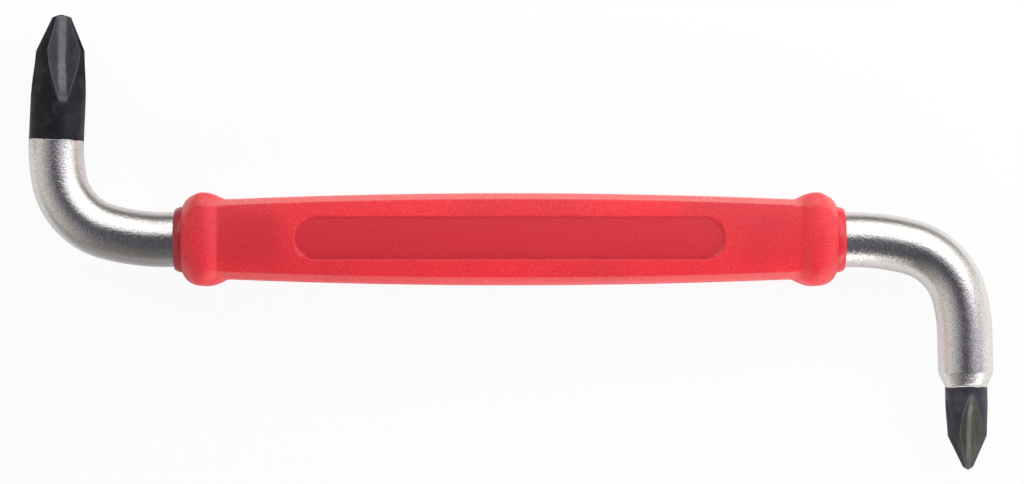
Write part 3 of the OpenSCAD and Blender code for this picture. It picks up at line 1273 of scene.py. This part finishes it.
        fade = smooth_step(down, *self.rub_and_highlight_fade)
        # The edges' mark: a painted highlight along the strip, where the pebble is also worn flatter.
        rubbed_and_highlit = np.concatenate([0.0 * across, np.ones(curve.shape[:2]), fade], axis=1)
        rubbed_and_highlit = rubbed_and_highlit * (1.0 - (1.0 - self.flange_rub_and_highlight) * soft)
        return np.concatenate([face, curve, side], axis=1), rubbed_and_highlit

    def sunk(self, along: Array, across: Array) -> Array:
        """Share of the panel's depth: 1 inside the long round-ended outline, 0 outside, eased between.

        The distance is that to a capsule, with a slight waver along the edge.

        Args:
            along: Places along the grip.
            across: Places across the face.

        Returns:
            The share at each point.
        """
        length, width, _ = self.panel
        radius = width / 2.0
        past = np.clip(np.abs(along) - (length / 2.0 - radius), 0.0, None)
        slow, quick = self.panel_waver
        waver = slow * np.sin(1.7 * along) + quick * np.sin(4.3 * along + 1.2 * np.sign(across))
        distance = np.hypot(past, across) - radius + waver
        return smooth_step(-distance, -0.35 * self.panel_edge, 0.65 * self.panel_edge)

    def shade_beside_panel(self, along: Array, across: Array) -> Array:
        """Share of painted shade, in the panel's colour, on the faces between panel and flanges.

        It is a flat-topped bell about the middle of each stretch: e to minus the fourth
        power of the distance in half lengths. It fades towards the edges and is weaker
        at the small end.

        Args:
            along: Places along the grip.
            across: Places across the face.

        Returns:
            The share at each point.
        """
        middle, half = self.shade_at
        past = (np.abs(along) - middle) / half
        near, far = self.shade_across
        fade = smooth_step(-np.abs(across), -far, -near)
        return np.where(along < 0.0, *self.shade_share) * np.exp(-(past**4)) * fade

    def build(self, finish: bpy.types.Material) -> bpy.types.Object:
        """Carry the section along the grip, sink the panels and close the skin through the bore.

        Args:
            finish: Its material.

        Returns:
            The piece.
        """
        along, tall, thick, share = self.stations()
        both = np.concatenate([-along[:0:-1], along])
        tall, thick, share = (np.concatenate([v[:0:-1], v]) for v in (tall, thick, share))
        soft = smooth_step(np.abs(both), self.neck_at - 0.4, self.crest_at - 0.6)
        quarter, rubbed_and_highlit = self.quarter(tall, thick, soft)
        rubbed_and_highlit = np.concatenate([rubbed_and_highlit[:, :-1], rubbed_and_highlit[:, :0:-1]], axis=1)
        flip = quarter[:, ::-1]
        loop = np.concatenate(
            [
                quarter[:, :-1],
                flip[:, :-1] * np.array([1.0, -1.0]),
                quarter[:, :-1] * np.array([-1.0, -1.0]),
                flip[:, :-1] * np.array([-1.0, 1.0]),
            ],
            axis=1,
        )
        turn = np.arctan2(loop[..., 0], loop[..., 1])
        way = np.stack([np.sin(turn), np.cos(turn)], axis=2)
        oval = 1.0 / np.hypot(way[..., 0] / tall[:, None], way[..., 1] / thick[:, None])
        reach = np.linalg.norm(loop, axis=2)
        reach = np.maximum(reach + share[:, None] * (oval - reach), self.bore)
        loop = reach[..., None] * way
        hole = self.bore * way
        on_face = smooth_step(np.abs(loop[..., 1]), *self.face_from)
        mark = self.sunk(both[:, None], loop[..., 0]) * on_face * (1.0 - soft[:, None])
        loop[..., 1] -= np.sign(loop[..., 1]) * self.panel[2] * mark
        grid = np.zeros((*loop.shape[:2], 3))
        grid[..., 0] = both[:, None]
        grid[..., 1] = loop[..., 0]
        grid[..., 2] = self.height + loop[..., 1]
        inside = np.linspace(both[-1] - 0.2, both[0] + 0.2, 12)
        tube = np.zeros((len(inside), loop.shape[1], 3))
        tube[..., 0] = inside[:, None]
        tube[..., 1] = hole[-1, :, 0]
        tube[..., 2] = self.height + hole[-1, :, 1]
        bare = np.zeros(tube.shape[:2])
        # Less painted highlight on the edges on the -Y side.
        rubbed_and_highlit = np.concatenate([rubbed_and_highlit, self.under * rubbed_and_highlit], axis=1)
        # Painted shade beside the panel goes into the same mark.
        mark = np.maximum(mark, self.shade_beside_panel(both[:, None], loop[..., 0]) * on_face)
        marks = {"sunk": np.concatenate([mark, bare]), "wear_and_highlight": np.concatenate([rubbed_and_highlit, bare])}
        skin = Skin(np.concatenate([grid, tube]), True, marks)
        return skin.make("red_grip", finish, Slot.GRIP, "grip")


@dataclass(frozen=True)
class Softbox:
    """A flat lamp.

    Attributes:
        name: The lamp's name.
        place: Its middle.
        size: Its width along X, before it is turned, and its other side.
        radiance: How bright its face is, where 1 shows as white.
        tilt: Turn about X in degrees: 0 faces down, 90 faces +Y.
        spin: Turn about Z in degrees, after the tilt.
        mirrored: Whether reflections show it.
    """

    name: str
    place: tuple[float, float, float]
    size: tuple[float, float]
    radiance: float
    tilt: float = 0.0
    spin: float = 0.0
    mirrored: bool = True

    def hang(self) -> bpy.types.Object:
        """Make the lamp, which the camera doesn't see.

        Returns:
            The lamp.
        """
        lamp = bpy.data.lights.new(self.name, "AREA")
        lamp.shape = "RECTANGLE"
        lamp.size, lamp.size_y = self.size[0] * MM, self.size[1] * MM
        lamp.energy = self.radiance * pi * lamp.size * lamp.size_y
        body = bpy.data.objects.new(self.name, lamp)
        body.location = np.array(self.place) * MM
        body.rotation_euler = (radians(self.tilt), 0.0, radians(self.spin))
        body.visible_camera = False
        body.visible_glossy = self.mirrored
        bpy.context.scene.collection.objects.link(body)
        return body


@dataclass(frozen=True)
class Floor:
    """A wide pale floor that shows near white and keeps the tool's shadow.

    In reflections it falls off to a dim grey behind the tool, and part of the way
    in front of its left half: a painted dark reflection. Places are metres, as its material reads them.

    Attributes:
        half: Half of its side.
        behind: Along Y, where it starts to dim behind the tool and where it is dim.
        front: The same in front of the tool.
        left: The same along X, from the right half to the left.
        left_share: How far the front of the left half dims.
        pale: Its colour.
        dim: Its colour in reflections where it is dim, a painted dark reflection.
        glow: Share of a white glow that the camera sees.
        faint_glow: Share of that glow in reflections.
    """

    half: float = 1.5
    behind: tuple[float, float] = (0.008, 0.022)
    front: tuple[float, float] = (-0.002, -0.012)
    left: tuple[float, float] = (0.01, -0.01)
    left_share: float = 0.68
    pale: Colour = (0.9, 0.9, 0.9, 1.0)
    dim: Colour = (0.09, 0.085, 0.095, 1.0)
    glow: float = 0.92
    faint_glow: float = 0.2

    def build(self) -> bpy.types.Object:
        """Lay the floor and keep it out of the part.

        Returns:
            The floor.
        """
        corners = [(x * self.half, y * self.half, 0.0) for x, y in ((-1, -1), (1, -1), (1, 1), (-1, 1))]
        mesh = bpy.data.meshes.new("floor")
        mesh.from_pydata(corners, [], [(0, 1, 2, 3)])
        mesh.materials.append(self.finish())
        piece = bpy.data.objects.new("floor", mesh)
        bpy.context.scene.collection.objects.link(piece)
        return piece

    def finish(self) -> bpy.types.Material:
        """Mix a pale matt floor with a white glow that the camera sees, and reflections more faintly.

        Returns:
            The material.
        """
        material = bpy.data.materials.new("pale_floor")
        material.use_nodes = True
        wires = Wiring(material.node_tree)
        matt = material.node_tree.nodes["Principled BSDF"]
        glow = wires.put(wires.add("ShaderNodeEmission"), Strength=1.0)
        ray = wires.add("ShaderNodeLightPath").outputs
        split = wires.add("ShaderNodeSeparateXYZ")
        wires.put(split, Vector=wires.add("ShaderNodeTexCoord").outputs["Object"])
        behind = wires.ramp(split.outputs["Y"], *self.behind)
        front = wires.ramp(split.outputs["Y"], *self.front)
        left = wires.math("MULTIPLY", wires.ramp(split.outputs["X"], *self.left), self.left_share)
        away = wires.math("MAXIMUM", behind, wires.math("MULTIPLY", front, left))
        # Reflections see the floor darken behind the tool and in front of its left half: a painted dark
        # reflection.
        dim = wires.math("MULTIPLY", away, ray["Is Glossy Ray"])
        wires.put(matt, Base_Color=wires.mix(dim, self.pale, self.dim), Roughness=0.9)
        plain = wires.math("MAXIMUM", ray["Is Camera Ray"], ray["Is Transmission Ray"])
        plain = wires.math("MULTIPLY", plain, self.glow)
        mirrored = wires.math("SUBTRACT", ray["Is Glossy Ray"], dim)
        mirrored = wires.math("MULTIPLY", mirrored, self.faint_glow)
        blend = wires.add("ShaderNodeMixShader")
        share = wires.math("MAXIMUM", plain, mirrored)
        for socket, value in zip(blend.inputs, (share, matt.outputs[0], glow.outputs[0])):
            wires.feed(socket, value)
        out = material.node_tree.nodes["Material Output"]
        wires.put(out, Surface=blend.outputs[0])
        return material


@dataclass(frozen=True)
class Room:
    """The room's own light: a low band all round and a dimmer, cooler light overhead.

    Attributes:
        band: Strength of the band, as the square, straight and constant parts of a
            parabola in the direction's X part.
        corner: How much the product of the X and Y parts raises it between +X and +Y.
        overhead: Strength overhead, as another such parabola.
        ceiling: Greatest strength of that.
        fade: Height of the direction where the band begins, and where it is alone.
        slant: How much the X part adds to that height.
        cool: Tint overhead.
        warm: Tint of the band.
    """

    band: tuple[float, float, float] = (0.71, 0.1, 0.14)
    corner: float = 0.7
    overhead: tuple[float, float, float] = (1.4, 0.2, 0.07)
    ceiling: float = 0.48
    fade: tuple[float, float] = (0.85, 0.3)
    slant: float = 0.2
    cool: Colour = (0.86, 0.82, 1.0, 1.0)
    warm: Colour = (1.0, 0.98, 0.92, 1.0)

    def build(self) -> bpy.types.World:
        """Light the room: the overhead light gives way to the band as the direction sinks.

        Returns:
            The world.
        """
        world = bpy.data.worlds.new("studio")
        world.use_nodes = True
        bpy.context.scene.world = world
        wires = Wiring(world.node_tree)
        back = world.node_tree.nodes["Background"]
        split = wires.add("ShaderNodeSeparateXYZ")
        wires.put(split, Vector=wires.add("ShaderNodeTexCoord").outputs["Generated"])
        x, y, z = (split.outputs[name] for name in "XYZ")

        def parabola(square: float, straight: float, constant: float) -> bpy.types.NodeSocket:
            """Work out (square x + straight) x + constant."""
            slope = wires.math("ADD", wires.math("MULTIPLY", x, square), straight)
            return wires.math("ADD", wires.math("MULTIPLY", slope, x), constant)

        low = wires.ramp(wires.math("ADD", z, wires.math("MULTIPLY", x, self.slant)), *self.fade)
        right, behind = (wires.math("MAXIMUM", part, 0.0) for part in (x, y))
        corner = wires.math("MULTIPLY", wires.math("MULTIPLY", right, behind), self.corner)
        level = wires.math("ADD", parabola(*self.band), corner)
        above = wires.math("MINIMUM", parabola(*self.overhead), self.ceiling)
        band = wires.math("MULTIPLY", wires.math("SUBTRACT", level, above), low)
        tint = wires.mix(low, self.cool, self.warm)
        wires.put(back, Color=tint, Strength=wires.math("ADD", band, above))
        return world


@dataclass
class Studio:
    """Soft light and the camera above the tool, with the floor and the room.

    Attributes:
        height: Height of the tool's axis.
        aim: Place under the middle of the picture.
        distance: From the camera to the tool's axis.
        lean: How far the camera leans from straight above towards -Y, in degrees.
        wide: Width of the picture at the tool's axis.
        lamps: The soft boxes.
    """

    height: float
    aim: tuple[float, float] = (0.27, -0.26)
    distance: float = 400.0
    lean: float = 2.0
    wide: float = 111.9
    lamps: tuple[Softbox, ...] = (
        Softbox("main_softbox", (73.8, 322.4, 95.0), (304.0, 600.0), 1.3, spin=-8.4),
        Softbox("main_wash", (73.8, 322.4, 96.0), (304.0, 600.0), 0.42, spin=-8.4, mirrored=False),
        Softbox(
            "side_wash", (300.0, 0.0, 90.0), (240.0, 140.0), 1.45, tilt=72.0, spin=90.0, mirrored=False
        ),
        Softbox("front_fill", (150.0, -160.0, 39.0), (220.0, 70.0), 2.1, tilt=84.0),
        Softbox("front_wash", (0.0, -190.0, 70.0), (300.0, 120.0), 2.2, tilt=70.0, mirrored=False),
    )

    def camera(self) -> bpy.types.Object:
        """Place the camera above, looking down with +Y up in the picture.

        Returns:
            The camera.
        """
        data = bpy.data.cameras.new("camera")
        data.sensor_fit = "HORIZONTAL"
        data.lens = data.sensor_width * self.distance / self.wide
        data.clip_start = 0.01
        body = bpy.data.objects.new("camera", data)
        lean = radians(self.lean)
        back, up = self.distance * sin(lean), self.distance * cos(lean)
        body.location = (self.aim[0] * MM, (self.aim[1] - back) * MM, (self.height + up) * MM)
        body.rotation_euler = (lean, 0.0, 0.0)
        bpy.context.scene.collection.objects.link(body)
        bpy.context.scene.camera = body
        return body

    def build(self) -> None:
        """Set camera, floor, world and lamps."""
        bpy.context.scene.view_settings.view_transform = "Standard"
        self.camera()
        Floor().build()
        Room().build()
        for lamp in self.lamps:
            lamp.hang()
        LOG.info("studio set, camera %.0f mm above the tool", self.distance)


def main() -> None:
    """Build the finishes, the pieces and the studio, in that order."""
    logging.basicConfig(level=logging.INFO, format="%(name)s: %(message)s")
    effects = Effects()
    plate = PlatedSteel(
        "satin_nickel", srgb(220, 217, 213), roughness=0.21, grain_scale=4900.0, grain_depth=3.4e-5
    ).build(effects)
    black = BlackedSteel(
        "burnished_black", srgb(21, 21, 27), roughness=0.42, grain_scale=5200.0, grain_depth=2e-5
    ).build(effects)
    grey = BlackedSteel(
        "burnished_grey", srgb(54, 52, 62), roughness=0.42, grain_scale=5200.0, grain_depth=2e-5,
        flute_tint=srgb(136, 138, 127), flute_ground=srgb(60, 62, 56), haze=srgb(88, 87, 95),
    ).build(effects)
    red = MouldedRed(
        "pebbled_red", srgb(255, 50, 62), roughness=0.42, grain_scale=5400.0, grain_depth=3.5e-5,
        patch_share=0.016,
    ).build(effects)
    # The collar's darker tone at the large end is painted shade.
    collar = MouldedRed(
        "smooth_red", srgb(220, 43, 55), roughness=0.3, grain_scale=2500.0, grain_depth=2e-6,
        coat=0.15, pebble=0.06, sunk_and_shade_tone=srgb(166, 40, 56),
    ).build(effects)
    stub, _ = packed_mount("small_stub")
    height = float(stub[2])
    sleeve = InnerSleeve(height)
    sleeve.build(collar)
    Grip(height).build(red)
    BentBar(BarPath(sleeve.half), height).build(plate)
    CrossPoint(
        End.LARGE, blade=6.0, length=13.8, nose=2.3, core=1.4, root=0.9, turn=17.0, nose_slope=15.0
    ).build(black)
    # The small point's left_tint leaves painted shade on one wall of its flutes.
    CrossPoint(
        End.SMALL, blade=4.6, length=9.0, nose=1.2, core=0.76, root=0.5, turn=9.0, nose_slope=30.0,
        wall_tint=0.34, tint_spread=(0.35, 2.2), left_tint=0.2, runout=(27.0, 8.0),
    ).build(grey)
    Studio(height).build()


if __name__ == "__main__":
    main()
